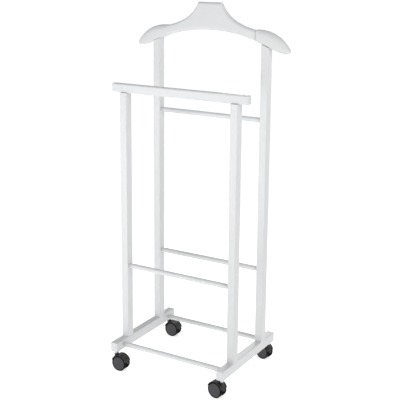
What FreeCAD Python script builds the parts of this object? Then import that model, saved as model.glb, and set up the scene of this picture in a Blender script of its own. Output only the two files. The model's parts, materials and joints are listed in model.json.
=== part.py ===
# Valet stand on casters: a contoured coat hanger on two tall back posts, a trouser bar on two
# front posts, two foot rails tied by turned rods, and four twin-wheel casters.
# Millimetres. +X is to the right, +Y to the back, +Z up; the origin is on the floor under the
# middle of the stand.
import FreeCAD
import Part
import os
import Sketcher
from FreeCAD import Placement, Rotation, Vector

doc = FreeCAD.newDocument("valet_stand")

# ---------------------------------------------------------------- driving dimensions
SIZES = [
    # frame
    ("overall_height", 1100, "floor to the top of the hanger board"),
    ("post_spacing", 366, "between the centres of the left and right posts"),
    ("row_spacing", 178, "between the centres of the front and back posts"),
    ("post_width", 23, "post, across the stand"),
    ("post_depth", 27, "post, front to back"),
    ("post_round", 2, "rounding of the posts' long edges"),
    ("rail_width", 23, "foot rail, across the stand"),
    ("rail_height", 29, "foot rail"),
    ("rail_overhang", 74, "foot rail beyond each post centre"),
    ("rail_round", 2, "rounding of the foot rail's edges"),
    # trouser bar
    ("bar_overhang", 42, "trouser bar beyond each post centre"),
    ("bar_depth", 20, "trouser bar, front to back"),
    ("bar_height", 26, "trouser bar"),
    ("bar_round", 4, "rounding of every edge of the trouser bar"),
    ("bar_top", 867, "floor to the top of the trouser bar"),
    # rods
    ("rod_diameter", 15, "turned rod"),
    ("neck_length", 12, "tapered stretch of a rod next to the wood it enters"),
    ("neck_step", 0.5, "shoulder of the rod's neck all round its tenon"),
    ("tenon_diameter", 10, "turned end of a rod, inside its hole"),
    ("tenon_depth", 12, "length of a rod's end inside its hole"),
    ("upper_rod_height", 767, "floor to the centre of the upper rod"),
    ("middle_rod_height", 313, "floor to the centre of the two middle rods"),
    ("lower_rod_offset", 36, "lower rods beyond the post centres"),
    # hanger board
    ("board_thickness", 18, "hanger board"),
    ("board_round", 8, "rounding of the hanger board's edges"),
    ("board_top_width", 79, "flat top of the hanger board"),
    ("board_arch", 24, "rise of the arched lower edge"),
    ("hollow_radius", 105, "hollow beside the flat top"),
    ("hollow_start", 67, "steepness of the hollow at the flat top, in degrees"),
    ("hollow_middle", 27, "steepness where the hollow turns into the flatter one"),
    ("hollow_end", 10, "steepness at the shoulder joint, in degrees"),
    # shoulders
    ("joint_inset", 32, "shoulder joint inside each post centre"),
    ("shoulder_length", 105, "shoulder, joint to tip"),
    ("shoulder_setback", 1.5, "shoulder's front behind the board's"),
    ("shoulder_thickness", 31, "shoulder, front to back"),
    ("shoulder_tip_thickness", 20, "shoulder's thickness at its tip"),
    ("shoulder_taper", 62, "stretch over which the shoulder thins to its tip"),
    ("shoulder_step", 1, "shoulder's highest line above the board's edge at the joint"),
    ("shoulder_flat", 9, "level stretch of the shoulder next to the joint"),
    ("shoulder_drop", 65, "shoulder's highest line to the lowest point of its tip"),
    ("shoulder_slope", 21.3, "slope of the shoulder's underside, in degrees"),
    ("shoulder_toe", 14, "half the length of the bend under the tip"),
    ("shoulder_tip_radius", 8, "rounded tip"),
    ("shoulder_round", 7.5, "rounding of the shoulder's long edges"),
    # joints inside the wood
    ("dowel_diameter", 8, "beech dowel between a post and what it carries or stands on"),
    ("hanger_dowel_diameter", 6, "beech dowel between the board and a shoulder"),
    ("dowel_half", 14, "each dowel's depth on either side of its joint"),
    ("glue_gap", 1, "space for glue past the end of a dowel or tenon"),
    ("screw_diameter", 5, "frame screw's shank"),
    ("screw_depth", 40, "frame screw inside the post"),
    ("screw_head_diameter", 9.5, "frame screw's countersunk head"),
    ("screw_head_height", 3, "frame screw's countersunk head"),
    ("screw_sink", 8, "frame screw's head, above the rail's underside"),
    # casters
    ("caster_inset", 14, "caster's stem from the end of the foot rail"),
    ("caster_trail", 16, "wheel axle behind the stem"),
    ("wheel_diameter", 47, "caster wheel"),
    ("wheel_width", 8.5, "one wheel of the pair"),
    ("wheel_round", 1.5, "rounding of the wheel's tread"),
    ("twin_width", 28, "over both wheels of a caster"),
    ("rim_thickness", 3.5, "wheel's rim"),
    ("web_thickness", 3, "wheel's disc"),
    ("cap_thickness", 1.6, "wheel cap, sunk in the wheel's disc"),
    ("cap_crown", 0.6, "wheel cap, proud of the wheel"),
    ("axle_diameter", 6, "caster axle"),
    ("hub_diameter", 12, "hub of the wheel and of the hood"),
    ("core_width", 8, "hood's middle wall, between the wheels"),
    ("fender_thickness", 1.6, "hood's shell over the wheels"),
    ("fender_gap", 0.8, "between a wheel and the shell"),
    ("caster_headroom", 8.6, "between the hood's shell and the foot rail"),
    ("fender_end", 7, "where the shell ends, above the axle"),
    ("boss_diameter", 10.2, "hood's sleeve for the stem"),
    ("boss_floor", 20, "floor to the bottom of the sleeve"),
    ("boss_bottom", 3, "closed bottom of the sleeve"),
    ("collar_diameter", 13, "hood's collar on top of the shell"),
    ("collar_length", 14, "hood's collar"),
    ("stem_diameter", 7, "stem inside the hood"),
    ("stem_flange_diameter", 12, "flange on the stem"),
    ("stem_flange_thickness", 6, "flange on the stem"),
    ("stem_grip_diameter", 8, "stem inside its socket"),
    ("stem_depth", 22, "stem inside the foot rail"),
    ("socket_diameter", 11, "socket pressed into the foot rail"),
    ("socket_flange_diameter", 18, "socket's flange under the foot rail"),
    ("socket_flange_thickness", 1.5, "socket's flange"),
    # fits
    ("running_fit", 0.05, "radial play of a turning pin"),
    ("turning_gap", 0.4, "between faces that turn past each other"),
]
# Which way each caster's wheels trail, in degrees turned from +X.
TRAIL_ANGLES = {"front_left": 0, "front_right": 172, "back_left": 0, "back_right": 168}

sheet = doc.addObject("Spreadsheet::Sheet", "Sizes")
for row, (alias, number, meaning) in enumerate(SIZES, start=1):
    sheet.set("A%d" % row, alias)
    sheet.set("B%d" % row, str(number))
    sheet.set("C%d" % row, meaning)
    sheet.setAlias("B%d" % row, alias)
doc.recompute()


def cells(expression):
    """An expression in which every @word is the sheet's cell of that name."""
    return str(expression).replace("@", "Sizes.")


def value(expression):
    """What such an expression comes to."""
    return float(sheet.evalExpression(cells(expression)))


# ---------------------------------------------------------------- derived places
POST_X = "(@post_spacing / 2)"
BACK_Y = "(@row_spacing / 2)"
WHEEL_RADIUS = "(@wheel_diameter / 2)"
FENDER_INNER = "(%s + @fender_gap)" % WHEEL_RADIUS
FENDER_OUTER = "(%s + @fender_thickness)" % FENDER_INNER
RAIL_BOTTOM = "(%s + %s + @caster_headroom)" % (WHEEL_RADIUS, FENDER_OUTER)
RAIL_TOP = "(%s + @rail_height)" % RAIL_BOTTOM
RAIL_LENGTH = "(@row_spacing + 2 * @rail_overhang)"
BAR_BOTTOM = "(@bar_top - @bar_height)"
ROD_SPAN = "(@post_spacing - @post_width)"
RAIL_MIDDLE = "(%s + @rail_height / 2)" % RAIL_BOTTOM
LOWER_ROD_Y = "(%s + @lower_rod_offset)" % BACK_Y
CASTER_Y = "(%s / 2 - @caster_inset)" % RAIL_LENGTH
DOWEL_HOLE = "(@dowel_half + @glue_gap)"

# hanger: the board's front is level with the back posts'
HANGER_FRONT = "(%s - @post_depth / 2)" % BACK_Y
BOARD_Y = "(%s + @board_thickness / 2)" % HANGER_FRONT
SHOULDER_Y = "(%s + @shoulder_setback + @shoulder_thickness / 2)" % HANGER_FRONT

# hanger board: two hollows on each side of the flat top, and the joint with the shoulder
JOINT_X = "(%s - @joint_inset)" % POST_X
TOP_EDGE_X = "(@board_top_width / 2)"
HOLLOW_X = "(%s + @hollow_radius * (sin(@hollow_start) - sin(@hollow_middle)))" % TOP_EDGE_X
HOLLOW_DROP = "(@hollow_radius * (cos(@hollow_middle) - cos(@hollow_start)))"
RUNOUT_X = "(%s - %s)" % (JOINT_X, HOLLOW_X)
RUNOUT_DROP = "(%s * tan((@hollow_middle + @hollow_end) / 2))" % RUNOUT_X
RUNOUT_RADIUS = "(%s / (sin(@hollow_middle) - sin(@hollow_end)))" % RUNOUT_X
JOINT_TOP = "(@overall_height - %s - %s)" % (HOLLOW_DROP, RUNOUT_DROP)

# shoulder: level, then one arc down to the rounded tip, and a sloping underside
CREST = "(%s + @shoulder_step)" % JOINT_TOP
TIP_BOTTOM = "(%s - @shoulder_drop)" % CREST
TIP_RUN = "(@shoulder_length - @shoulder_flat - @shoulder_tip_radius)"
TIP_FALL = "(@shoulder_drop - @shoulder_tip_radius)"
BACK_RADIUS = "((%s ^ 2 + %s ^ 2 - @shoulder_tip_radius ^ 2) / (2 * (%s - @shoulder_tip_radius)))" % (
    TIP_RUN, TIP_FALL, TIP_FALL)
TIP_X = "(%s + @shoulder_length - @shoulder_tip_radius)" % JOINT_X
UNDERSIDE_RISE = "((@shoulder_length - @shoulder_tip_radius - @shoulder_toe) * tan(@shoulder_slope))"
JOINT_BOTTOM = "(%s + %s)" % (TIP_BOTTOM, UNDERSIDE_RISE)
JOINT_MIDDLE = "((%s + %s) / 2)" % (JOINT_TOP, JOINT_BOTTOM)
JOINT_QUARTER = "((%s - %s) / 4)" % (JOINT_TOP, JOINT_BOTTOM)


def underside(x):
    """Height of the shoulder's straight underside at x."""
    return "(%s - (%s - %s) * tan(@shoulder_slope))" % (JOINT_BOTTOM, x, JOINT_X)


# casters: heights above the floor, and radii
SOCKET_BOTTOM = "(%s - @socket_flange_thickness)" % RAIL_BOTTOM
FLANGE_BOTTOM = "(%s - @stem_flange_thickness)" % SOCKET_BOTTOM
COLLAR_TOP = "(%s - @turning_gap)" % FLANGE_BOTTOM
STEM_LOW = "(@boss_floor + @boss_bottom + @turning_gap)"
WHEEL_OUTER = "(@twin_width / 2)"
WHEEL_INNER = "(%s - @wheel_width)" % WHEEL_OUTER
CAP_SEAT = "(%s - @cap_thickness)" % WHEEL_OUTER
RIM_INNER = "(%s - @rim_thickness)" % WHEEL_RADIUS


# ---------------------------------------------------------------- helpers
def bind(item, **expressions):
    """Bind properties to the sheet; a double underscore in a name stands for a dot."""
    for name, expression in expressions.items():
        item.setExpression(name.replace("__", "."), cells(expression))


def place(item, x="0", y="0", z="0"):
    bind(item, Placement__Base__x=x, Placement__Base__y=y, Placement__Base__z=z)


def new_body(label):
    body = doc.addObject("PartDesign::Body", label)
    body.Label = label
    return body


def new_sketch(body, name, role):
    """A sketch on one of the body's own planes."""
    sketch = body.newObject("Sketcher::SketchObject", body.Name + "_" + name)
    plane = [item for item in body.Origin.OriginFeatures if item.Role == role][0]
    sketch.AttachmentSupport = (plane, [""])
    sketch.MapMode = "FlatFace"
    return sketch


def dimension(sketch, name, expression, kind, *where):
    """A named dimension of a sketch, bound to the sheet."""
    sketch.addConstraint(Sketcher.Constraint(kind, *where, value(expression)))
    sketch.renameConstraint(sketch.ConstraintCount - 1, name)
    sketch.setExpression("Constraints." + name, cells(expression))


def arc_between(start, end, radius, turn):
    """The short arc from start to end that turns left (turn 1) or right (turn -1)."""
    chord = end - start
    half = chord.Length / 2
    side = Vector(-chord.y, chord.x, 0).normalize() * turn
    centre = (start + end) / 2 + side * max(radius ** 2 - half ** 2, 0) ** 0.5
    middle = centre - side * radius
    return Part.Arc(start, middle, end)


def outline(sketch, corners, arcs=()):
    """A closed outline through named corners (name, x, y), each x and y an expression.

    arcs gives, for the stretch that starts at a named corner, its radius and its turn."""
    arcs = dict(arcs)
    points = [Vector(value(x), value(y), 0) for _, x, y in corners]
    count = len(points)
    for index, (name, _, _) in enumerate(corners):
        start, end = points[index], points[(index + 1) % count]
        if name in arcs:
            radius, turn = arcs[name]
            sketch.addGeometry(arc_between(start, end, value(radius), turn), False)
        else:
            sketch.addGeometry(Part.LineSegment(start, end), False)
    # an arc that turns right is stored from its end to its start
    ends = [(2, 1) if arcs.get(name, (0, 1))[1] < 0 else (1, 2) for name, _, _ in corners]
    for index in range(count):
        following = (index + 1) % count
        join = Sketcher.Constraint("Coincident", index, ends[index][1], following, ends[following][0])
        sketch.addConstraint(join)
    for index, (name, x, y) in enumerate(corners):
        dimension(sketch, name + "_x", x, "DistanceX", -1, 1, index, ends[index][0])
        dimension(sketch, name + "_y", y, "DistanceY", -1, 1, index, ends[index][0])
        if name in arcs:
            dimension(sketch, name + "_radius", arcs[name][0], "Radius", index)


def rectangle(sketch, width, height):
    """A rectangle centred on the sketch's origin."""
    right, top = "(%s / 2)" % width, "(%s / 2)" % height
    left, low = "-" + right, "-" + top
    outline(sketch, [("a", left, low), ("b", right, low), ("c", right, top), ("d", left, top)])


def pad(body, sketch, length, middle=False):
    feature = body.newObject("PartDesign::Pad", sketch.Name + "_pad")
    feature.Profile = sketch
    if middle:
        feature.SideType = "Symmetric"
    bind(feature, Length=length)
    return feature


def revolve(body, sketch, axis):
    """A full turn about the sketch's H_Axis or V_Axis."""
    feature = body.newObject("PartDesign::Revolution", sketch.Name + "_turn")
    feature.Profile = sketch
    feature.ReferenceAxis = (sketch, [axis])
    feature.Angle = 360
    return feature


def fillet(body, name, radius, wanted):
    """Round those edges of the body's last feature for which wanted(edge) is true."""
    doc.recompute()
    base = body.Tip
    names = ["Edge%d" % number for number, edge in enumerate(base.Shape.Edges, 1) if wanted(edge)]
    feature = body.newObject("PartDesign::Fillet", body.Name + "_" + name)
    feature.Base = (base, names)
    bind(feature, Radius=radius)
    return feature


def runs_along(edge, axis):
    """Whether an edge is straight and parallel to an axis."""
    return isinstance(edge.Curve, Part.Line) and abs(edge.Curve.Direction.dot(axis)) > 0.999


def mirrored(label, source):
    """The left-hand twin of a right-hand piece."""
    twin = doc.addObject("Part::Mirroring", label)
    twin.Label = label
    twin.Source = source
    twin.Normal = Vector(1, 0, 0)
    return twin


TURNS = {"z": Rotation(),
         "x": Rotation(Vector(0, 1, 0), 90),
         "y": Rotation(Vector(1, 0, 0), -90)}


def cylinder(name, diameter, length, x="0", y="0", z="0", along="z"):
    """A cylinder that starts at (x, y, z) and runs along one axis."""
    item = doc.addObject("Part::Cylinder", name)
    item.Placement = Placement(Vector(), TURNS[along])
    bind(item, Radius="(%s) / 2" % diameter, Height=length)
    place(item, x, y, z)
    return item


def cone(name, low_diameter, high_diameter, length, x, y, z):
    item = doc.addObject("Part::Cone", name)
    bind(item, Radius1="(%s) / 2" % low_diameter, Radius2="(%s) / 2" % high_diameter, Height=length)
    place(item, x, y, z)
    return item


def fuse(label, items):
    item = doc.addObject("Part::MultiFuse", label)
    item.Label = label
    item.Shapes = items
    item.Refine = True
    return item


def cut(label, base, tools):
    """base with all of the tools' holes in it."""
    item = doc.addObject("Part::Cut", label)
    item.Label = label
    item.Base = base
    item.Tool = tools[0] if len(tools) == 1 else fuse(label + "_holes", tools)
    return item


def group(label, items):
    """Separate, identical pieces that share one node."""
    item = doc.addObject("Part::Compound", label)
    item.Label = label
    item.Links = items
    return item


nodes = []

# ---------------------------------------------------------------- where dowels, screws and tenons go
# Every fastener and its hole are drawn from the same place, on the right-hand side of the stand.
# In each post the dowel stands a quarter of its depth inside the centre, and the screw as far outside it.
DOWEL_Y = {"front": "(-%s + @post_depth / 4)" % BACK_Y, "back": "(%s - @post_depth / 4)" % BACK_Y}
SCREW_Y = {"front": "(-%s - @post_depth / 4)" % BACK_Y, "back": "(%s + @post_depth / 4)" % BACK_Y}


def upright_dowel(name, x, y, joint_height, half):
    """A dowel, or with a larger half its hole, across a level or sloping joint."""
    return cylinder(name, "@dowel_diameter", "2 * " + half, x, y, "%s - %s" % (joint_height, half))


def rail_dowel(name, side, row, half):
    return upright_dowel(name, side + POST_X, DOWEL_Y[row], RAIL_TOP, half)


def bar_dowel(name, side, half):
    return upright_dowel(name, side + POST_X, "-" + BACK_Y, BAR_BOTTOM, half)


def shoulder_dowel(name, side, half):
    return upright_dowel(name, side + POST_X, BACK_Y, underside(POST_X), half)


def hanger_dowel(name, side, level, half):
    """A dowel, or its hole, along X across the joint of the board and a shoulder."""
    height = "%s + %s * %s" % (JOINT_MIDDLE, level, JOINT_QUARTER)
    start = "%s%s - %s" % (side, JOINT_X, half)
    return cylinder(name, "@hanger_dowel_diameter", "2 * " + half, start, BOARD_Y, height, along="x")


def frame_screw(name, side, row, head_length):
    """A countersunk screw up through the foot rail; its hole has a longer head."""
    x, y = side + POST_X, SCREW_Y[row]
    seat = "(%s + @screw_sink)" % RAIL_BOTTOM
    shank = cylinder(name + "_shank", "@screw_diameter", "%s + @screw_depth - %s" % (RAIL_TOP, seat),
                     x, y, seat)
    head = cone(name + "_head", "@screw_head_diameter", "@screw_diameter", "@screw_head_height",
                x, y, seat)
    if not head_length:
        return fuse(name, [shank, head])
    well = cylinder(name + "_well", "@screw_head_diameter", head_length, x, y, RAIL_BOTTOM)
    return fuse(name, [shank, head, well])


def tenon_hole(name, y, z):
    """The blind hole for a rod's end in the inner face of a right-hand post or rail."""
    depth = "(@tenon_depth + @glue_gap)"
    return cylinder(name, "@tenon_diameter", depth, "%s / 2" % ROD_SPAN, y, z, along="x")


# ---------------------------------------------------------------- posts
def right_post(label, row, inner_height, outer_height, top_hole, rod_heights):
    """A post on the right foot rail, its top level or cut to the shoulder's slope."""
    y = BACK_Y if row == "back" else "-" + BACK_Y
    body = new_body(label + "_blank")
    sketch = new_sketch(body, "front", "XZ_Plane")
    half = "(@post_width / 2)"
    outline(sketch, [("inner_foot", "-" + half, "0"), ("outer_foot", half, "0"),
                     ("outer_top", half, outer_height), ("inner_top", "-" + half, inner_height)])
    pad(body, sketch, "@post_depth", middle=True)
    fillet(body, "rounding", "@post_round", lambda edge: runs_along(edge, Vector(0, 0, 1)))
    place(body, POST_X, y, RAIL_TOP)
    holes = [rail_dowel(label + "_foot_hole", "", row, DOWEL_HOLE),
             frame_screw(label + "_screw_hole", "", row, None), top_hole]
    for number, height in enumerate(rod_heights, start=1):
        holes.append(tenon_hole("%s_rod_hole_%d" % (label, number), y, height))
    return cut(label, body, holes)


INNER_X = "(%s - @post_width / 2)" % POST_X
OUTER_X = "(%s + @post_width / 2)" % POST_X
right_back_post = right_post(
    "right_back_post", "back",
    "%s - %s" % (underside(INNER_X), RAIL_TOP), "%s - %s" % (underside(OUTER_X), RAIL_TOP),
    shoulder_dowel("right_back_post_top_hole", "", DOWEL_HOLE),
    ["@upper_rod_height", "@middle_rod_height"])
right_front_post = right_post(
    "right_front_post", "front",
    "%s - %s" % (BAR_BOTTOM, RAIL_TOP), "%s - %s" % (BAR_BOTTOM, RAIL_TOP),
    bar_dowel("right_front_post_top_hole", "", DOWEL_HOLE),
    ["@middle_rod_height"])
nodes += [right_back_post, mirrored("left_back_post", right_back_post),
          right_front_post, mirrored("left_front_post", right_front_post)]

# ---------------------------------------------------------------- foot rails
body = new_body("right_foot_rail_blank")
sketch = new_sketch(body, "plan", "XY_Plane")
rectangle(sketch, "@rail_width", RAIL_LENGTH)
pad(body, sketch, "@rail_height")
fillet(body, "rounding", "@rail_round", lambda edge: True)
place(body, POST_X, "0", RAIL_BOTTOM)
holes = []
for row, side_of_row in (("front", "-"), ("back", "")):
    holes += [rail_dowel("rail_%s_dowel_hole" % row, "", row, DOWEL_HOLE),
              frame_screw("rail_%s_screw_hole" % row, "", row, "@screw_sink"),
              tenon_hole("rail_%s_rod_hole" % row, side_of_row + LOWER_ROD_Y, RAIL_MIDDLE),
              cylinder("rail_%s_socket_hole" % row, "@socket_diameter", "@stem_depth + @glue_gap",
                       POST_X, side_of_row + CASTER_Y, RAIL_BOTTOM)]
right_foot_rail = cut("right_foot_rail", body, holes)
nodes += [right_foot_rail, mirrored("left_foot_rail", right_foot_rail)]

# ---------------------------------------------------------------- trouser bar
body = new_body("trouser_bar_blank")
sketch = new_sketch(body, "plan", "XY_Plane")
rectangle(sketch, "(@post_spacing + 2 * @bar_overhang)", "@bar_depth")
pad(body, sketch, "@bar_height")
fillet(body, "rounding", "@bar_round", lambda edge: True)
place(body, "0", "-" + BACK_Y, BAR_BOTTOM)
nodes.append(cut("trouser_bar", body, [bar_dowel("bar_left_hole", "-", DOWEL_HOLE),
                                       bar_dowel("bar_right_hole", "", DOWEL_HOLE)]))


# ---------------------------------------------------------------- turned rods
def rod(label, y, z):
    """A rod turned down to a neck and a tenon at each end."""
    body = new_body(label)
    sketch = new_sketch(body, "profile", "XY_Plane")
    face, end = "(%s / 2)" % ROD_SPAN, "(%s / 2 + @tenon_depth)" % ROD_SPAN
    full = "(%s - @neck_length)" % face
    tenon, neck, thick = "(@tenon_diameter / 2)", "(@tenon_diameter / 2 + @neck_step)", "(@rod_diameter / 2)"
    right = [("end", end, "0"), ("tenon_end", end, tenon), ("tenon", face, tenon),
             ("neck", face, neck), ("full", full, thick)]
    left = [("left_" + name, "-" + x, y_) for name, x, y_ in reversed(right)]
    outline(sketch, right + left)
    revolve(body, sketch, "H_Axis")
    place(body, "0", y, z)
    return body


nodes += [rod("upper_back_rod", BACK_Y, "@upper_rod_height"),
          rod("middle_back_rod", BACK_Y, "@middle_rod_height"),
          rod("middle_front_rod", "-" + BACK_Y, "@middle_rod_height"),
          rod("lower_back_rod", LOWER_ROD_Y, RAIL_MIDDLE),
          rod("lower_front_rod", "-" + LOWER_ROD_Y, RAIL_MIDDLE)]

# ---------------------------------------------------------------- hanger board
body = new_body("hanger_board_blank")
sketch = new_sketch(body, "front", "XZ_Plane")
HOLLOW_HEIGHT = "(@overall_height - %s)" % HOLLOW_DROP
right_side = [("joint_bottom", JOINT_X, JOINT_BOTTOM), ("joint_top", JOINT_X, JOINT_TOP),
              ("hollow", HOLLOW_X, HOLLOW_HEIGHT), ("top", TOP_EDGE_X, "@overall_height")]
left_side = [("left_" + name, "-" + x, z) for name, x, z in reversed(right_side)]
ARCH_RADIUS = "((%s ^ 2 + @board_arch ^ 2) / (2 * @board_arch))" % JOINT_X
outline(sketch, right_side + left_side,
        {"joint_top": (RUNOUT_RADIUS, -1), "hollow": ("@hollow_radius", -1),
         "left_top": ("@hollow_radius", -1), "left_hollow": (RUNOUT_RADIUS, -1),
         "left_joint_bottom": (ARCH_RADIUS, -1)})
pad(body, sketch, "@board_thickness", middle=True)
joint_plane = value(JOINT_X) - 0.01
fillet(body, "rounding", "@board_round",
       lambda edge: not runs_along(edge, Vector(0, 1, 0)) and abs(edge.CenterOfMass.x) < joint_plane)
place(body, "0", BOARD_Y, "0")
SIDES = (("left", "-"), ("right", ""))
LEVELS = (("lower", "-1"), ("upper", "1"))
nodes.append(cut("hanger_board", body, [
    hanger_dowel("board_%s_%s_hole" % (side, level), sign, step, DOWEL_HOLE)
    for side, sign in SIDES for level, step in LEVELS]))

# ---------------------------------------------------------------- shoulders
body = new_body("right_shoulder_blank")
sketch = new_sketch(body, "front", "XZ_Plane")
FLAT_END_X = "(%s + @shoulder_flat)" % JOINT_X
BEND_X = "(%s - @shoulder_toe * (1 + cos(@shoulder_slope)))" % TIP_X
BEND_Z = "(%s + @shoulder_toe * sin(@shoulder_slope))" % TIP_BOTTOM
BEND_RADIUS = "(@shoulder_toe / tan(@shoulder_slope / 2))"
REACH = "(%s / (%s - @shoulder_tip_radius))" % (BACK_RADIUS, BACK_RADIUS)
BACK_END_X = "(%s + %s * %s)" % (FLAT_END_X, TIP_RUN, REACH)
BACK_END_Z = "(%s - %s + (%s - %s) * %s)" % (CREST, BACK_RADIUS, BACK_RADIUS, TIP_FALL, REACH)
outline(sketch,
        [("joint_bottom", JOINT_X, JOINT_BOTTOM), ("bend", BEND_X, BEND_Z),
         ("tip_bottom", TIP_X, TIP_BOTTOM), ("tip_top", BACK_END_X, BACK_END_Z),
         ("crest_end", FLAT_END_X, CREST), ("joint_top", JOINT_X, CREST)],
        {"bend": (BEND_RADIUS, 1), "tip_bottom": ("@shoulder_tip_radius", 1),
         "tip_top": (BACK_RADIUS, 1)})
pad(body, sketch, "@shoulder_thickness", middle=True)

# the shoulder thins towards its tip along an arc on each side
TAPER_DEPTH = "((@shoulder_thickness - @shoulder_tip_thickness) / 2)"
TAPER_RADIUS = "((@shoulder_taper ^ 2 + %s ^ 2) / (2 * %s))" % (TAPER_DEPTH, TAPER_DEPTH)
TAPER_START = "(%s + @shoulder_length - @shoulder_taper)" % JOINT_X
TAPER_END = "(%s + @shoulder_length)" % JOINT_X
for side, sign, turn in (("front", "-", 1), ("back", "", -1)):
    doc.recompute()
    before = body.Shape.Volume
    sketch = new_sketch(body, side + "_taper", "XY_Plane")
    outline(sketch,
            [("start", TAPER_START, sign + "(@shoulder_thickness / 2)"),
             ("end", TAPER_END, sign + "(@shoulder_tip_thickness / 2)"),
             ("clear", TAPER_END, sign + "@shoulder_thickness"),
             ("clear_start", TAPER_START, sign + "@shoulder_thickness")],
            {"start": (TAPER_RADIUS, turn)})
    feature = body.newObject("PartDesign::Pocket", sketch.Name + "_pocket")
    feature.Profile = sketch
    feature.Reversed = True
    bind(feature, Length="@overall_height")
    doc.recompute()
    if body.Shape.Volume > before - 1:
        raise RuntimeError(feature.Name + " cuts nothing")


def on_outline(edge):
    """The edges all round the front and back faces, but not those of the joint."""
    return (edge.BoundBox.XMax > value(JOINT_X) + 0.01 and not runs_along(edge, Vector(0, 1, 0))
            and not runs_along(edge, Vector(0, 0, 1)))


fillet(body, "rounding", "@shoulder_round", on_outline)
place(body, "0", SHOULDER_Y, "0")
right_shoulder = cut("right_shoulder", body, [
    hanger_dowel("shoulder_%s_hole" % level, "", step, DOWEL_HOLE) for level, step in LEVELS
] + [shoulder_dowel("shoulder_post_hole", "", DOWEL_HOLE)])
nodes += [right_shoulder, mirrored("left_shoulder", right_shoulder)]

# ---------------------------------------------------------------- dowels and screws
nodes.append(group("hanger_dowels", [
    hanger_dowel("hanger_dowel_%s_%s" % (side, level), sign, step, "@dowel_half")
    for side, sign in SIDES for level, step in LEVELS]))
nodes.append(group("shoulder_dowels", [
    shoulder_dowel("shoulder_dowel_" + side, sign, "@dowel_half") for side, sign in SIDES]))
nodes.append(group("bar_dowels", [
    bar_dowel("bar_dowel_" + side, sign, "@dowel_half") for side, sign in SIDES]))
nodes.append(group("rail_dowels", [
    rail_dowel("rail_dowel_%s_%s" % (side, row), sign, row, "@dowel_half")
    for side, sign in SIDES for row in ("front", "back")]))
nodes.append(group("frame_screws", [
    frame_screw("frame_screw_%s_%s" % (side, row), sign, row, None)
    for side, sign in SIDES for row in ("front", "back")]))


# ---------------------------------------------------------------- casters
def stem(name, x, y):
    """The steel pin on which a caster swivels, with a flange and a grip in the socket."""
    return fuse(name, [
        cylinder(name + "_pin", "@stem_diameter", "%s - %s" % (FLANGE_BOTTOM, STEM_LOW),
                 x, y, STEM_LOW),
        cylinder(name + "_flange", "@stem_flange_diameter", "@stem_flange_thickness",
                 x, y, FLANGE_BOTTOM),
        cylinder(name + "_grip", "@stem_grip_diameter", "@socket_flange_thickness + @stem_depth",
                 x, y, SOCKET_BOTTOM)])


def socket(name, x, y):
    """The flanged sleeve pressed into the foot rail."""
    sleeve = fuse(name + "_sleeve", [
        cylinder(name + "_tube", "@socket_diameter", "@stem_depth + @glue_gap", x, y,
                 RAIL_BOTTOM),
        cylinder(name + "_flange", "@socket_flange_diameter", "@socket_flange_thickness", x, y,
                 SOCKET_BOTTOM)])
    bore = cylinder(name + "_bore", "@stem_grip_diameter", "@socket_flange_thickness + @stem_depth",
                    x, y, SOCKET_BOTTOM)
    return cut(name, sleeve, [bore])


def across(name, radius, width):
    """A cylinder about the axle, centred between the wheels."""
    return cylinder(name, "2 * %s" % radius, width, "@caster_trail", "-%s / 2" % width,
                    WHEEL_RADIUS, along="y")


def upper_part(name, base, height):
    """What of base lies above a height, cut off level."""
    below = doc.addObject("Part::Box", name + "_below")
    bind(below, Length="4 * " + FENDER_OUTER, Width="2 * @twin_width",
         Height="%s + %s" % (height, FENDER_OUTER))
    place(below, "@caster_trail - 2 * " + FENDER_OUTER, "-@twin_width", "-" + FENDER_OUTER)
    return cut(name, base, [below])


def hood(label):
    """The moulded hood: a shell over both wheels, a wall between them and a sleeve for the stem."""
    shell = upper_part(label + "_shell", across(label + "_shell_disc", FENDER_OUTER, "@twin_width"),
                       "%s + @fender_end" % WHEEL_RADIUS)
    collar = cylinder(label + "_collar", "@collar_diameter", "@collar_length",
                      z="%s - @collar_length" % COLLAR_TOP)
    outside = cut(label + "_outside", fuse(label + "_cover", [shell, collar]),
                  [across(label + "_hollow", FENDER_INNER, "2 * @twin_width")])
    core_radius = "(%s + @fender_thickness / 2)" % FENDER_INNER
    core = upper_part(label + "_core", across(label + "_core_disc", core_radius, "@core_width"),
                      WHEEL_RADIUS)
    hub = across(label + "_hub", "@hub_diameter / 2", "@core_width")
    boss = cylinder(label + "_boss", "@boss_diameter", "%s - @boss_floor" % COLLAR_TOP,
                    z="@boss_floor")
    bores = [cylinder(label + "_stem_bore", "@stem_diameter + 2 * @running_fit", "@overall_height",
                      z=STEM_LOW + " - @turning_gap"),
             across(label + "_axle_bore", "@axle_diameter / 2", "2 * @core_width")]
    return cut(label, fuse(label + "_solid", [outside, core, hub, boss]), bores)


def axle(label):
    """The steel pin pressed through the hood's wall, on which both wheels turn."""
    return group(label, [across(label + "_pin", "@axle_diameter / 2",
                                "(2 * (%s - @turning_gap))" % CAP_SEAT)])


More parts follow.
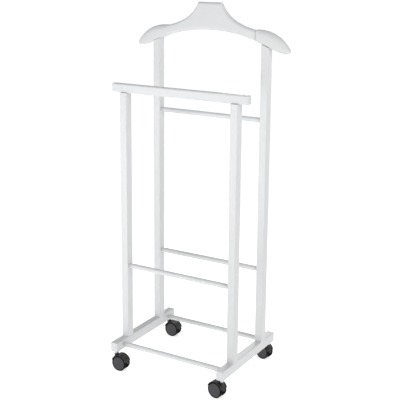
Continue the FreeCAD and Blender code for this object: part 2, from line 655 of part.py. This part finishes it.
def wheel(label):
    """One moulded wheel, hollow on its inner side, facing +Y from the middle of its axle."""
    body = new_body(label)
    sketch = new_sketch(body, "section", "XY_Plane")
    bore, hub_radius = "(@axle_diameter / 2 + @running_fit)", "(@hub_diameter / 2)"
    hub_end, web = "(@core_width / 2 + @turning_gap)", "(%s - @web_thickness)" % CAP_SEAT
    outline(sketch, [
        ("bore_end", bore, hub_end), ("hub_end", hub_radius, hub_end), ("hub", hub_radius, web),
        ("web", RIM_INNER, web), ("rim_end", RIM_INNER, WHEEL_INNER),
        ("tread_end", WHEEL_RADIUS, WHEEL_INNER), ("tread", WHEEL_RADIUS, WHEEL_OUTER),
        ("recess", RIM_INNER, WHEEL_OUTER), ("seat", RIM_INNER, CAP_SEAT), ("bore", bore, CAP_SEAT)])
    revolve(body, sketch, "V_Axis")
    tread_radius = value(WHEEL_RADIUS) - 0.01
    fillet(body, "rounding", "@wheel_round",
           lambda edge: isinstance(edge.Curve, Part.Circle) and edge.Curve.Radius > tread_radius)
    return body


def cap(label):
    """The shallow domed cap that snaps into the wheel's outer face."""
    body = new_body(label)
    sketch = new_sketch(body, "section", "XY_Plane")
    crown = "(%s + @cap_crown)" % WHEEL_OUTER
    dome_radius = "((%s ^ 2 + @cap_crown ^ 2) / (2 * @cap_crown))" % RIM_INNER
    outline(sketch, [("seat_centre", "0", CAP_SEAT), ("seat", RIM_INNER, CAP_SEAT),
                     ("rim", RIM_INNER, WHEEL_OUTER), ("crown", "0", crown)],
            {"rim": (dome_radius, 1)})
    revolve(body, sketch, "V_Axis")
    return body


stems, sockets = [], []
for corner, angle in TRAIL_ANGLES.items():
    row, side = corner.split("_")
    x = ("-" if side == "left" else "") + POST_X
    y = ("-" if row == "front" else "") + CASTER_Y
    stems.append(stem(corner + "_stem", x, y))
    sockets.append(socket(corner + "_socket", x, y))
    for piece in (hood(corner + "_caster_hood"), axle(corner + "_caster_axle")):
        piece.Placement = Placement(Vector(), Rotation(Vector(0, 0, 1), angle))
        place(piece, x, y, "0")
        nodes.append(piece)
    facing_front = angle if abs(angle) > 90 else angle + 180
    for name, facing in (("fore", facing_front), ("aft", facing_front + 180)):
        for piece in (wheel("%s_caster_%s_wheel" % (corner, name)),
                      cap("%s_caster_%s_cap" % (corner, name))):
            piece.Placement = Placement(Vector(), Rotation(Vector(0, 0, 1), facing))
            place(piece, "%s + @caster_trail * cos(%s)" % (x, angle),
                  "%s + @caster_trail * sin(%s)" % (y, angle), WHEEL_RADIUS)
            nodes.append(piece)
nodes.append(group("caster_stems", stems))
nodes.append(group("caster_sockets", sockets))

# ---------------------------------------------------------------- check and write
doc.recompute()
for item in doc.Objects:
    if "Invalid" in item.State or "Error" in item.State:
        raise RuntimeError("%s is %s" % (item.Label, item.State))
os.makedirs("parts", exist_ok=True)
for node in nodes:
    if node.Shape.isNull() or not node.Shape.isValid():
        raise RuntimeError(node.Label + " has no valid shape")
for node in nodes:
    node.Shape.exportStep("parts/%s.step" % node.Label)
    box = node.Shape.BoundBox
    print("%-32s %8.1f mm3  x %7.1f %7.1f  y %7.1f %7.1f  z %7.1f %7.1f" % (
        node.Label, node.Shape.Volume, box.XMin, box.XMax, box.YMin, box.YMax, box.ZMin, box.ZMax))
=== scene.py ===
import json
import math

import bpy
import numpy as np
from mathutils import Matrix, Vector


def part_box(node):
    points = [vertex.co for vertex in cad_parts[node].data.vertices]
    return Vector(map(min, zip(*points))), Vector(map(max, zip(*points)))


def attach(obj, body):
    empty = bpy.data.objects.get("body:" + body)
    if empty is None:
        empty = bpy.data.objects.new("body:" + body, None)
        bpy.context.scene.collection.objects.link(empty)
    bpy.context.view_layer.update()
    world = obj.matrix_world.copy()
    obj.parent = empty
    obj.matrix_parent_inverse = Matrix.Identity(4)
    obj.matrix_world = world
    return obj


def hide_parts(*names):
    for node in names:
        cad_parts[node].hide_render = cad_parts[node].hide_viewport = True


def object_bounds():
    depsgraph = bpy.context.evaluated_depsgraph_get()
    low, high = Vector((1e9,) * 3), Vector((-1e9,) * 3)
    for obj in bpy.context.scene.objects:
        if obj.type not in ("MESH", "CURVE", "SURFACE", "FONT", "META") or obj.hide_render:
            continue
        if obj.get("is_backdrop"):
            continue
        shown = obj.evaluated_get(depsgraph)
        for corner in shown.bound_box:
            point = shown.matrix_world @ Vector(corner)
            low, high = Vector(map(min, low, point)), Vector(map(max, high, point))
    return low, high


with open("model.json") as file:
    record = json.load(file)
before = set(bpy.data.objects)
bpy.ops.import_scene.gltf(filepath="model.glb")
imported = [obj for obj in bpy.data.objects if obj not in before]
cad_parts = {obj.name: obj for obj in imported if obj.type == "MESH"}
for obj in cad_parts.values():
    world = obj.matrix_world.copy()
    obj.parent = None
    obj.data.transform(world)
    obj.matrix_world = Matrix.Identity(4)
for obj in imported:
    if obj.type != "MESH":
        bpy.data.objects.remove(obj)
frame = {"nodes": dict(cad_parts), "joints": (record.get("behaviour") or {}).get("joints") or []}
cad_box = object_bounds()
nodes = frame["nodes"]


# ---------------------------------------------------------------- foot rails
# Two straight hardwood rails, one under each side of the stand, planed square with their long edges
# eased, and sprayed with white satin lacquer. Everything else stands on them, held by dowels and screws.
class Shade:
    """One output in a material's nodes. Sums, differences and products add Math nodes."""

    def __init__(self, tree, socket=None):
        self.tree, self.socket = tree, socket

    def node(self, kind, settings, inputs, output=0):
        """A node of any type: its settings first, then the value or link of each of its sockets."""
        made = self.tree.nodes.new(kind)
        for name, setting in settings.items():
            setattr(made, name, setting)
        for name, given in inputs.items():
            if isinstance(given, Shade):
                self.tree.links.new(given.socket, made.inputs[name])
            else:
                made.inputs[name].default_value = given
        return Shade(self.tree, made.outputs[output])

    def maths(self, operation, first, second):
        return self.node("ShaderNodeMath", {"operation": operation}, {0: first, 1: second})

    def __add__(self, other):
        return self.maths("ADD", self, other)

    def __mul__(self, other):
        return self.maths("MULTIPLY", self, other)

    def __sub__(self, other):
        return self.maths("SUBTRACT", self, other)

    def __rsub__(self, other):
        return self.maths("SUBTRACT", other, self)

    __radd__, __rmul__ = __add__, __mul__

    def noise(self, scales, detail=2.0):
        """Noise from 0 to 1 on Object coordinates, with its own number of lumps per metre on each axis."""
        where = self.node("ShaderNodeTexCoord", {}, {}, "Object")
        stretched = self.node("ShaderNodeMapping", {}, {"Vector": where, "Scale": scales})
        return self.node("ShaderNodeTexNoise", {}, {"Vector": stretched, "Scale": 1, "Detail": detail}, "Fac")

    def between(self, low, high):
        """0 below low and 1 above high, smooth between them."""
        return self.node("ShaderNodeMapRange", {"interpolation_type": "SMOOTHSTEP"},
                         {"Value": self, "From Min": low, "From Max": high})

    def blend(self, first, second):
        """A colour from first to second as this goes from 0 to 1."""
        return self.node("ShaderNodeMix", {"data_type": "RGBA"},
                         {"Factor": self, 6: (*first, 1), 7: (*second, 1)}, 2)


def finish_of(name, **constants):
    """A new material: the start of its nodes, and a function that links shades to its shader."""
    material = bpy.data.materials.new(name)
    material.use_nodes = True
    shader = material.node_tree.nodes["Principled BSDF"]
    for socket, constant in constants.items():
        shader.inputs[socket.replace("_", " ")].default_value = constant
    start = Shade(material.node_tree)

    def join(colour, roughness, height, depth):
        """Link colour and roughness, and height as a bump that is depth metres deep."""
        bump = start.node("ShaderNodeBump", {}, {"Height": height, "Distance": depth, "Strength": 1.0})
        for socket, shade in (("Base Color", colour), ("Roughness", roughness), ("Normal", bump)):
            start.tree.links.new(shade.socket, shader.inputs[socket])
        return material

    return start, join


def white_lacquer(name, grain):
    """Satin white lacquer on wood whose grain runs along axis 0, 1 or 2.

    Height is long grain lines, sparse open pores and the spray's fine orange peel, added together.
    The end grain, where the surface faces along the grain, drinks more lacquer and dries duller."""
    start, join = finish_of(name, Specular_IOR_Level=0.45, Coat_Weight=0.18, Coat_Roughness=0.22)

    def along(lengthwise, crosswise):
        return tuple(lengthwise if axis == grain else crosswise for axis in range(3))

    lines = start.noise(along(9, 420), 3.0)
    pores = start.noise(along(60, 1500), 1.0).between(0.66, 0.74)
    peel = start.noise((700, 700, 700), 1.0)
    cloud = start.noise(along(3, 14), 2.0)
    facing = start.node("ShaderNodeTexCoord", {}, {}, "Normal")
    parts = start.node("ShaderNodeSeparateXYZ", {}, {"Vector": facing}, grain)
    end_grain = start.node("ShaderNodeMath", {"operation": "ABSOLUTE"}, {0: parts}).between(0.85, 0.97)
    tone = cloud * 0.7 + lines * 0.3 + end_grain * 0.25
    fresh_white, dull_white = (0.650, 0.653, 0.658), (0.620, 0.623, 0.619)
    colour = tone.between(0.2, 1.0).blend(fresh_white, dull_white)
    roughness = cloud * 0.10 + end_grain * 0.12 + 0.30
    return join(colour, roughness, lines * 0.6 - pores * 0.5 + peel * 0.25, 0.00009)


def dress(material, *names):
    """Give CAD nodes a material in place of their plain one."""
    for name in names:
        nodes[name].data.materials.clear()
        nodes[name].data.materials.append(material)


dress(white_lacquer("rail_lacquer", 1), "left_foot_rail", "right_foot_rail")


# ---------------------------------------------------------------- posts
# Four square uprights, each standing on a foot rail on one dowel and one screw. The back pair is taller
# and its tops are cut to the slope of the shoulders. The grain runs upright.
dress(white_lacquer("post_lacquer", 2),
      "left_front_post", "right_front_post", "left_back_post", "right_back_post")


# ---------------------------------------------------------------- rods
# Five turned rods between the posts and the foot rails, their ends necked down to a short tenon that is
# glued into a blind hole. They keep the two sides parallel, and clothes and shoes hang on them.
dress(white_lacquer("rod_lacquer", 0),
      "upper_back_rod", "middle_back_rod", "middle_front_rod", "lower_back_rod", "lower_front_rod")


# ---------------------------------------------------------------- trouser bar
# A square bar with well rounded edges, dowelled on the tops of the front posts and left to overhang
# them, so that trousers hang over it without a crease.
dress(white_lacquer("bar_lacquer", 0), "trouser_bar")


# ---------------------------------------------------------------- hanger board and shoulders
# The hanger's middle is sawn from a flat board with a flat crown and hollow sides. Two thicker shoulders,
# shaped and rounded over like a jacket's, are dowelled to its ends and to the tops of the back posts.
dress(white_lacquer("board_lacquer", 0), "hanger_board")


def net(count, around):
    """The indices of count rings of points, those of their neighbours round, and every ring's quads.

    Quad (i, j) goes from ring i to ring i + 1, and the last ring's quads go back to the first."""
    here = np.arange(count * around).reshape(count, around)
    beside = np.roll(here, -1, axis=1)
    quads = np.stack([here, np.roll(here, -1, axis=0), np.roll(beside, -1, axis=0), beside], axis=-1)
    return here, beside, quads


def smooth_object(name, points, faces):
    """A smoothly shaded mesh whose object is at the origin."""
    mesh = bpy.data.meshes.new(name)
    mesh.from_pydata(points.tolist(), [], faces)
    mesh.polygons.foreach_set("use_smooth", np.ones(len(mesh.polygons), bool))
    piece = bpy.data.objects.new(name, mesh)
    bpy.context.scene.collection.objects.link(piece)
    return piece


def skin(name, rings, bored=False):
    """A closed mesh over rings of points, (rings, points round, 3).

    It has a pole in the middle of each end or, if bored, its last ring joins the first. The volume inside,
    the sum of a . (b x c) / 6 over its triangles, tells which way the faces point."""
    count, around = rings.shape[:2]
    here, beside, quads = net(count, around)
    points, ends = rings.reshape(-1, 3), np.empty((0, 3), int)
    if not bored:
        quads = quads[:-1]
        first = np.stack([np.full(around, here.size), here[0], beside[0]], axis=-1)
        last = np.stack([np.full(around, here.size + 1), beside[-1], here[-1]], axis=-1)
        ends = np.concatenate([first, last])
        points = np.concatenate([points, rings[[0, -1]].mean(axis=1)])
    quads = quads.reshape(-1, 4)
    triangles = np.concatenate([quads[:, [0, 1, 2]], quads[:, [0, 2, 3]], ends])
    a, b, c = (points[triangles[:, k]] for k in range(3))
    piece = smooth_object(name, points, quads.tolist() + ends.tolist())
    if (a * np.cross(b, c)).sum() < 0:
        piece.data.flip_normals()
    piece.data.set_sharp_from_angle(angle=math.radians(38))
    return piece


def quarter(across, height, reach, rise, start):
    """A quarter ellipse at every station, from the angle start in degrees.

    Its points are across + reach cos a and height + rise sin a."""
    a = np.radians(np.linspace(start, start + 90, 13))
    return np.stack([across[:, None] + reach[:, None] * np.cos(a),
                     height[:, None] + rise[:, None] * np.sin(a)], axis=-1)


# The shoulders' own sizes. SEAM is the groove at the joint with the board, BLEND_LENGTH the run over which
# the board's rounding grows into the shoulder's, and NOSE_LENGTH the end where stations lie closer.
SEAM = 0.0006
CREST_FLAT = 0.009
TIP_RADIUS = 0.008
UNDERSIDE_SLOPE = math.radians(21.3)
UNDERSIDE_BEND = 0.014
TAPER_LENGTH, TAPER_DEPTH = 0.062, 0.0055
PLAN_ROUND = 0.0075
BOARD_ROUND = 0.008
CREST_ROUND = 0.017
LOWER_ROUND = 0.005
BLEND_LENGTH = 0.015
NOSE_LENGTH = 0.010
BODY_START, BODY_STATIONS, NOSE_STATIONS = 0.002, 60, 22


def past(x, start):
    """How far each station is past start, and 0 before it."""
    return np.clip(x - start, 0, None)


def below_arc(radius, run):
    """How far an arc of this radius has fallen after each run along its tangent, or at most its radius."""
    return radius - np.sqrt(np.clip(radius ** 2 - run ** 2, 0, None))


def shoulder_outline(x, joint, tip, low, crest):
    """The heights of a shoulder's highest and lowest lines at every station.

    The highest is level for CREST_FLAT and then one arc that touches the tip's circle. The lowest is a
    straight slope and then an arc, tangent to it, that ends level under the middle of that circle."""
    flat_end = joint + CREST_FLAT
    nose_x, nose_z = tip - TIP_RADIUS, low + TIP_RADIUS
    nose = np.sqrt(np.clip(TIP_RADIUS ** 2 - past(x, nose_x) ** 2, 0, None))
    run, fall = nose_x - flat_end, crest - nose_z
    arc = (run ** 2 + fall ** 2 - TIP_RADIUS ** 2) / (2 * (fall - TIP_RADIUS))
    touch_x = flat_end + run * arc / (arc - TIP_RADIUS)
    top = np.where(x > touch_x, nose_z + nose, crest - below_arc(arc, past(x, flat_end)))

    bend = UNDERSIDE_BEND / math.tan(UNDERSIDE_SLOPE / 2)
    bend_x = nose_x - UNDERSIDE_BEND * (1 + math.cos(UNDERSIDE_SLOPE))
    bend_z = low + UNDERSIDE_BEND * math.sin(UNDERSIDE_SLOPE)
    straight = bend_z + (bend_x - x) * math.tan(UNDERSIDE_SLOPE)
    curved = low + below_arc(bend, np.clip(nose_x - x, 0, bend * 0.5))
    bottom = np.where(x < bend_x, straight, np.where(x < nose_x, curved, nose_z - nose))
    return top, bottom


def shoulder(name, side, front, back, joint, tip, low, crest):
    """A shoulder, lofted from its joint with the board out to its rounded tip.

    Its thickness thins along an arc over TAPER_LENGTH, and is rounded in plan by PLAN_ROUND at the tip.
    Each section is two quarter ellipses at the top, which grow from the board's rounding at the joint
    until they nearly meet, and two small quarter circles at the bottom. The first ring is SEAM smaller
    all round than the second and SEAM from the board, so that the joint shows as a fine groove."""
    body = np.linspace(joint + BODY_START, tip - NOSE_LENGTH, BODY_STATIONS)
    nose = tip - NOSE_LENGTH * (1 - np.sin(np.linspace(0.03, 0.497 * np.pi, NOSE_STATIONS)))
    x = np.concatenate([[joint + SEAM, joint + 2 * SEAM], body, nose])
    ease = np.zeros_like(x)
    ease[0] = SEAM
    top, bottom = shoulder_outline(x, joint, tip, low, crest)
    top, bottom = top - ease, bottom + ease
    taper_arc = (TAPER_LENGTH ** 2 + TAPER_DEPTH ** 2) / (2 * TAPER_DEPTH)
    half = ((back - front) / 2 - ease - below_arc(taper_arc, past(x, tip - TAPER_LENGTH))
            - below_arc(PLAN_ROUND, past(x, tip - PLAN_ROUND)))

    grown = np.clip((x - joint) / BLEND_LENGTH, 0, 1)
    grown = grown * grown * (3 - 2 * grown)
    depth = top - bottom
    reach = np.minimum(BOARD_ROUND + (0.93 * half - BOARD_ROUND) * grown, 0.97 * half)
    rise = np.minimum(BOARD_ROUND + (CREST_ROUND - BOARD_ROUND) * grown, 0.6 * depth)
    lower = np.minimum(LOWER_ROUND, np.minimum(0.38 * depth, 0.9 * half))
    section = np.concatenate([quarter(half - reach, top - rise, reach, rise, 0),
                              quarter(reach - half, top - rise, reach, rise, 90),
                              quarter(lower - half, bottom + lower, lower, lower, 180),
                              quarter(half - lower, bottom + lower, lower, lower, 270)], axis=1)
    rings = np.stack([np.broadcast_to(side * x[:, None], section.shape[:2]),
                      section[..., 0] + (front + back) / 2, section[..., 1]], axis=-1)
    return skin(name, rings)


shoulder_lacquer = white_lacquer("shoulder_lacquer", 0)
for side, node in ((-1, "left_shoulder"), (1, "right_shoulder")):
    near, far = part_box(node)
    inner, outer = sorted((abs(near.x), abs(far.x)))
    piece = shoulder(node + "_shaped", side, near.y, far.y, inner, outer, near.z, far.z)
    piece.data.materials.append(shoulder_lacquer)
    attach(piece, "frame")
    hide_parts(node)


# ---------------------------------------------------------------- dowels
# Fluted beech pegs, left bare because glue doesn't hold on lacquer, and hidden inside the joints.
def bare_beech():
    """Bare beech: a pink-brown ground, darker growth lines, and short darker ray flecks."""
    start, join = finish_of("bare_beech", Specular_IOR_Level=0.3)
    lines = start.noise((160, 160, 160), 3.0)
    flecks = start.noise((900, 900, 900), 1.0).between(0.60, 0.70)
    colour = (lines * 0.7 + flecks * 0.3).blend((0.62, 0.42, 0.25), (0.40, 0.24, 0.13))
    return join(colour, lines * 0.15 + 0.55, lines - flecks * 0.4, 0.00012)


dress(bare_beech(), "rail_dowels", "bar_dowels", "hanger_dowels", "shoulder_dowels")


# ---------------------------------------------------------------- screws, caster stems and axles
# Zinc plated steel: four countersunk screws sunk in the undersides of the foot rails, the flanged stems
# on which the casters turn, and the axles of their wheels.
def bright_zinc():
    """Zinc plate: a bluish metal with a fine uneven bloom and faint drawing lines."""
    start, join = finish_of("bright_zinc", Metallic=1.0)
    bloom = start.noise((260, 260, 260), 4.0)
    fine = start.noise((2500, 2500, 2500), 1.0)
    colour = bloom.blend((0.62, 0.64, 0.66), (0.48, 0.49, 0.50))
    return join(colour, bloom * 0.22 + 0.20, bloom * 0.4 + fine * 0.6, 0.00002)


CORNERS = "front_left", "front_right", "back_left", "back_right"
dress(bright_zinc(), "frame_screws", "caster_stems", *(corner + "_caster_axle" for corner in CORNERS))


# ---------------------------------------------------------------- casters: sockets and hoods
# Each caster plugs into a nylon socket pressed up into the rail. Its hood is one injection moulding, a
# curved fender over both wheels with a web and a boss for the stem, with a fine spark-eroded texture.
def moulded(name, dark, light, roughness, texture, lumps=35):
    """Moulded plastic: a slow change of shade, with lumps to the metre, and a fine pitted texture.

    The texture is a bump that many metres deep, and roughness is the least that the plastic has."""
    start, join = finish_of(name, Specular_IOR_Level=0.5)
    slow = start.noise((lumps, lumps, lumps), 2.0)
    pitted = start.noise((1800, 1800, 1800), 2.0)
    colour = (slow * 0.7 + pitted * 0.3).blend(dark, light)
    return join(colour, slow * 0.12 + pitted * 0.08 + roughness, pitted, texture)


dress(moulded("natural_nylon", (0.80, 0.80, 0.77), (0.72, 0.72, 0.69), 0.40, 0.00004), "caster_sockets")
dress(moulded("hood_plastic", (0.002, 0.003, 0.002), (0.012, 0.013, 0.011), 0.38, 0.00006),
      *(corner + "_caster_hood" for corner in CORNERS))


# ---------------------------------------------------------------- caster wheels
# Eight black nylon wheels, two to a caster, with a smooth tread, rounded edges, a dished inner face and a
# bored hub, dulled by the floor that they roll on. Each is clipped on its end of the axle.
def rounded(corners, radius, steps=6):
    """The corners' outline with each inner corner eased.

    The eased corner is a parabola: it starts and ends radius away from the corner, or at the middle of
    a shorter side, and is pulled towards it by the weights (1 - t)^2, 2 t (1 - t) and t^2."""
    corners = np.array(corners, float)
    before, at, after = corners[:-2], corners[1:-1], corners[2:]
    back, on = before - at, after - at
    back_length = np.linalg.norm(back, axis=1, keepdims=True)
    on_length = np.linalg.norm(on, axis=1, keepdims=True)
    start = at + back / back_length * np.minimum(radius, back_length / 2)
    end = at + on / on_length * np.minimum(radius, on_length / 2)
    t = np.linspace(0, 1, steps + 1)[None, :, None]
    eased = start[:, None] * (1 - t) ** 2 + at[:, None] * 2 * t * (1 - t) + end[:, None] * t ** 2
    return np.concatenate([corners[:1], eased.reshape(-1, 2), corners[-1:]])


def turned(name, profile, centre, axis, bored=False, sides=128):
    """A turned piece: its profile of (radius, height) carried once round an axis that lies level.

    Point (i, j) is centre + height_i * axis + radius_i * (cos j * across + sin j * upward)."""
    axis = axis / np.linalg.norm(axis)
    upward = np.array((0.0, 0.0, 1.0))
    across = np.cross(upward, axis)
    angle = np.linspace(0, 2 * np.pi, sides, endpoint=False)
    spokes = np.cos(angle)[:, None] * across + np.sin(angle)[:, None] * upward
    rings = centre + profile[:, 1, None, None] * axis + profile[:, 0, None, None] * spokes
    return skin(name, rings, bored)


def rolled_nylon():
    """Wheel plastic: near black, with the scuffs and dust of rolling as slow and fine noise."""
    start, join = finish_of("wheel_plastic", Specular_IOR_Level=0.05)
    scuffs = start.noise((240, 240, 240), 4.0).between(0.45, 0.75)
    fine = start.noise((1600, 1600, 1600), 1.0)
    colour = (scuffs * 0.8 + fine * 0.2).blend((0.002, 0.002, 0.002), (0.008, 0.008, 0.008))
    return join(colour, scuffs * 0.18 + 0.52, fine * 0.5 + scuffs * 0.5, 0.00005)


wheel_places = {}
for joint in frame["joints"]:
    if joint["name"].endswith("_wheel_spin"):
        wheel_places[joint["child"]] = (np.array(joint["pos_m"], float), np.array(joint["axis"], float))


def seat(body, part):
    """Where a wheel or its cap goes: its label, its CAD node, the wheel's centre, and the axis outward.

    Outward is from the middle of the caster to the node's own side of it."""
    corner, side = body.rsplit("_wheel", 1)[0].rsplit("_", 1)
    node = "%s_caster_%s_%s" % (corner, side, part)
    centre, axis = wheel_places[body]
    low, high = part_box(node)
    outward = axis if np.dot((np.array(low) + np.array(high)) / 2 - centre, axis) > 0 else -axis
    return "%s_%s" % (corner, side), node, centre, outward


# The front left caster stands square to the frame, so a box round its wheel gives the wheel's own sizes.
straight_centre = wheel_places["front_left_fore_wheel"][0]
low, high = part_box("front_left_caster_fore_wheel")
WHEEL_RADIUS = (high.z - low.z) / 2
HUB_END, OUTER_FACE = sorted(abs(y - straight_centre[1]) for y in (low.y, high.y))
RIM_FACE = HUB_END + 0.0011
HUB_RADIUS, WEB_RADIUS, RIM_RADIUS = 0.0060, 0.0180, 0.0190
SEAT_RADIUS = 0.0208
DISH = 0.0012
EDGE_ROUND = 0.0014
low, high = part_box("front_left_caster_axle")
BORE = (high.z - low.z) / 2 + 0.0001

wheel_plastic = rolled_nylon()
wheel_profile = rounded([
    (BORE, HUB_END), (HUB_RADIUS, HUB_END), (HUB_RADIUS + 0.0004, RIM_FACE + DISH),
    (WEB_RADIUS, RIM_FACE + DISH), (RIM_RADIUS, RIM_FACE), (WHEEL_RADIUS, RIM_FACE),
    (WHEEL_RADIUS, OUTER_FACE), (SEAT_RADIUS, OUTER_FACE), (SEAT_RADIUS - 0.0004, OUTER_FACE - DISH),
    (BORE, OUTER_FACE - DISH)], EDGE_ROUND)
for body in wheel_places:
    label, node, centre, outward = seat(body, "wheel")
    wheel = turned(label + "_tyre", wheel_profile, centre, outward, bored=True)
    wheel.data.materials.append(wheel_plastic)
    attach(wheel, body)
    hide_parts(node)


# ---------------------------------------------------------------- wheel caps
# A charcoal disc snapped over the outer face of each wheel, slightly domed, with a raised lip, a shallow
# groove inside it and a small gate mark at its middle.
CAP_RADIUS, CAP_BACK, CAP_EDGE = 0.0200, OUTER_FACE - 0.0011, OUTER_FACE - 0.0001
CAP_ROUND = 0.0005
LIP_RADIUS = 0.0182
GROOVE_RADIUS, GROOVE_FLOOR = 0.0176, OUTER_FACE - 0.0005
MARK_RADIUS, MARK_FLOOR = 0.0024, OUTER_FACE - 0.0004

cap_plastic = moulded("cap_plastic", (0.003, 0.002, 0.005), (0.048, 0.044, 0.053), 0.40, 0.00003, 230)
cap_profile = rounded([
    (0.0003, CAP_BACK), (CAP_RADIUS, CAP_BACK), (CAP_RADIUS, CAP_EDGE), (LIP_RADIUS, OUTER_FACE),
    (GROOVE_RADIUS, GROOVE_FLOOR), (0.0166, OUTER_FACE - 0.0004), (0.0100, OUTER_FACE - 0.0001),
    (0.0026, OUTER_FACE), (MARK_RADIUS, MARK_FLOOR), (MARK_RADIUS / 2, MARK_FLOOR),
    (0.0003, OUTER_FACE - 0.0003)], CAP_ROUND)
for body in wheel_places:
    label, node, centre, outward = seat(body, "cap")
    cap = turned(label + "_disc", cap_profile, centre, outward)
    cap.data.materials.append(cap_plastic)
    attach(cap, body)
    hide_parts(node)


# ---------------------------------------------------------------- floor and backdrop
# A plain pale studio floor that sweeps up all round, so that no horizon shows. It glows a little, as a
# floor of lit opal acrylic does, and so keeps the shadows soft.
FLOOR_REACH, SWEEP = 26.0, 6.0
FIRST_RING = 0.5
FLAT_RINGS, RISING_RINGS, FLOOR_SIDES = 11, 25, 96


def sweep():
    """A disc that turns up into a bowl: flat out to FLOOR_REACH, then a quarter circle of radius SWEEP.

    Point (i, j) is (radius_i cos j, radius_i sin j, height_i), with a pole at the middle."""
    rising = np.linspace(0, math.pi / 2, RISING_RINGS)
    flat = np.linspace(FIRST_RING, FLOOR_REACH, FLAT_RINGS, endpoint=False)
    radius = np.concatenate([flat, FLOOR_REACH + SWEEP * np.sin(rising)])
    height = np.concatenate([np.zeros_like(flat), SWEEP * (1 - np.cos(rising))])
    angle = np.linspace(0, 2 * np.pi, FLOOR_SIDES, endpoint=False)
    rings = np.stack([radius[:, None] * np.cos(angle), radius[:, None] * np.sin(angle),
                      np.broadcast_to(height[:, None], (len(radius), FLOOR_SIDES))], axis=-1)
    here, beside, quads = net(len(radius), FLOOR_SIDES)
    middle = np.stack([np.full(FLOOR_SIDES, here.size), here[0], beside[0]], axis=-1)
    points = np.concatenate([rings.reshape(-1, 3), np.zeros((1, 3))])
    return smooth_object("studio_floor", points, quads[:-1].reshape(-1, 4).tolist() + middle.tolist())


start, join = finish_of("opal_floor", Emission_Color=(1, 1, 1, 1), Emission_Strength=0.60,
                        Specular_IOR_Level=0.0)
grain = start.noise((30, 30, 30), 2.0)
floor = sweep()
floor.data.materials.append(join(grain.blend((0.90, 0.90, 0.90), (0.92, 0.92, 0.92)),
                                 grain * 0.05 + 0.7, grain, 0.00002))
floor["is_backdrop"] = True


# ---------------------------------------------------------------- lights
# A dim pale ceiling over the sweep and three softboxes: a large one low in front of the left-hand side,
# which leaves the hanger a little darker than the posts, one high on the right for the right-hand sides,
# and one behind, below the hanger's height, that lights the tops of the foot rails and rods only.
world = bpy.data.worlds.new("studio")
world.use_nodes = True
ceiling = world.node_tree.nodes["Background"].inputs
ceiling["Color"].default_value = (0.97, 0.985, 1.0, 1)
ceiling["Strength"].default_value = 0.46
bpy.context.scene.world = world

for name, place, aim, width, power in (
        ("front_softbox", (-0.70, -1.35, 0.36), (-0.10, 0.00, 0.55), 0.9, 6.2),
        ("right_softbox", (1.10, -0.55, 1.65), (0.10, 0.00, 0.40), 0.8, 6.5),
        ("back_softbox", (-0.30, 1.30, 0.90), (0.00, 0.00, 0.10), 0.6, 3.2)):
    lamp = bpy.data.lights.new(name, "AREA")
    lamp.shape, lamp.size, lamp.energy = "DISK", width, power
    holder = bpy.data.objects.new(name, lamp)
    away = Vector(place) - Vector(aim)
    holder.matrix_world = Matrix.Translation(place) @ away.to_track_quat("Z", "Y").to_matrix().to_4x4()
    holder.visible_camera = False
    bpy.context.scene.collection.objects.link(holder)


# ---------------------------------------------------------------- camera
# A long lens to the front right, about 30 degrees off the front and a little above the hanger. Its frame
# is shifted down, so that it takes in the stand from the hanger to the casters.
CAMERA_PLACE = Vector((1.3319, -2.2336, 1.2454))
AZIMUTH, ELEVATION, ROLL = map(math.radians, (30.404, 12.347, 0.470))
FOCAL_LENGTH, SENSOR_WIDTH = 81.735, 36
SHIFT_X, SHIFT_Y = -0.00265, -0.12614

back = Vector((math.sin(AZIMUTH) * math.cos(ELEVATION), -math.cos(AZIMUTH) * math.cos(ELEVATION),
               math.sin(ELEVATION)))
right = (-back).cross(Vector((0, 0, 1))).normalized()
up = right.cross(-back)
level = right * math.cos(ROLL) + up * math.sin(ROLL)
upright = up * math.cos(ROLL) - right * math.sin(ROLL)
lens = bpy.data.cameras.new("camera")
lens.lens, lens.sensor_width = FOCAL_LENGTH, SENSOR_WIDTH
lens.shift_x, lens.shift_y = SHIFT_X, SHIFT_Y
camera = bpy.data.objects.new("camera", lens)
camera.matrix_world = (Matrix.Translation(CAMERA_PLACE)
                       @ Matrix((level, upright, back)).transposed().to_4x4())
bpy.context.scene.collection.objects.link(camera)
bpy.context.scene.camera = camera
bpy.context.scene.view_settings.view_transform = "Standard"

boxes = {"cad": cad_box, "visual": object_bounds()}
{name: [list(corner) for corner in box] for name, box in boxes.items()}
